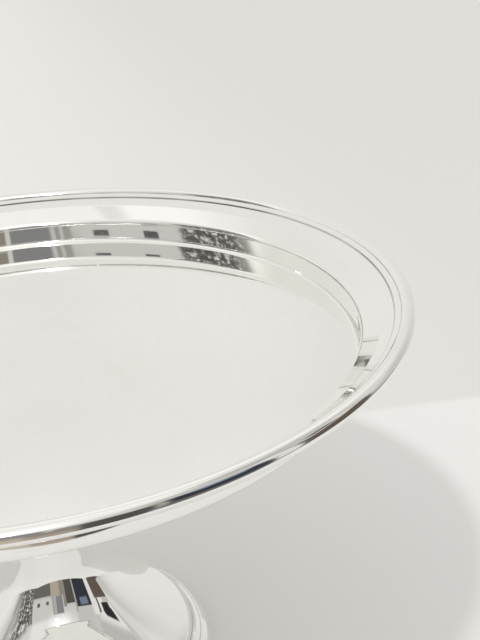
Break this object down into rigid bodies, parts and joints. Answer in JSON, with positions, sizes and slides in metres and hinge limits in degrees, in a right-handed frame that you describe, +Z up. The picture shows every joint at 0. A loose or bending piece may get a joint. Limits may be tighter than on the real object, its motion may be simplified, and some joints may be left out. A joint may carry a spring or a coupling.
{
  "type": "footed compote",
  "caption": "Footed compote: a shallow flat-floored dish with a sloping flange and a bead at the rim, on a waisted stem that flares into a low domed foot with a moulded base ring.",
  "frame": {"origin": "centre of the base ring's flat, on the table", "axes": "+Z up along the axis of the bowl; the part is round about it, so X and Y are free"},
  "size_m": [0.25, 0.25, 0.1414],
  "materials": {
    "dish_silver": "polished silver sheet with faint turning and wiping marks",
    "bead_silver": "polished silver wire with a flat fillet",
    "foot_silver": "polished silver sheet",
    "ring_silver": "polished silver moulding, slightly dulled in the grooves",
    "collar_silver": "turned and polished silver",
    "hidden_metal": "unpolished sheet, silver plated",
    "fastener_steel": "turned steel"
  },
  "bodies": {
    "root": {"dish_pan": "dish_silver", "rim_bead": "bead_silver", "dish_plate": "hidden_metal", "stud": "fastener_steel", "stem_collar": "collar_silver", "stem": "foot_silver", "foot_shell": "foot_silver", "base_ring": "ring_silver", "clamp_washer": "hidden_metal", "clamp_nut": "fastener_steel"}
  },
  "joints": []
}
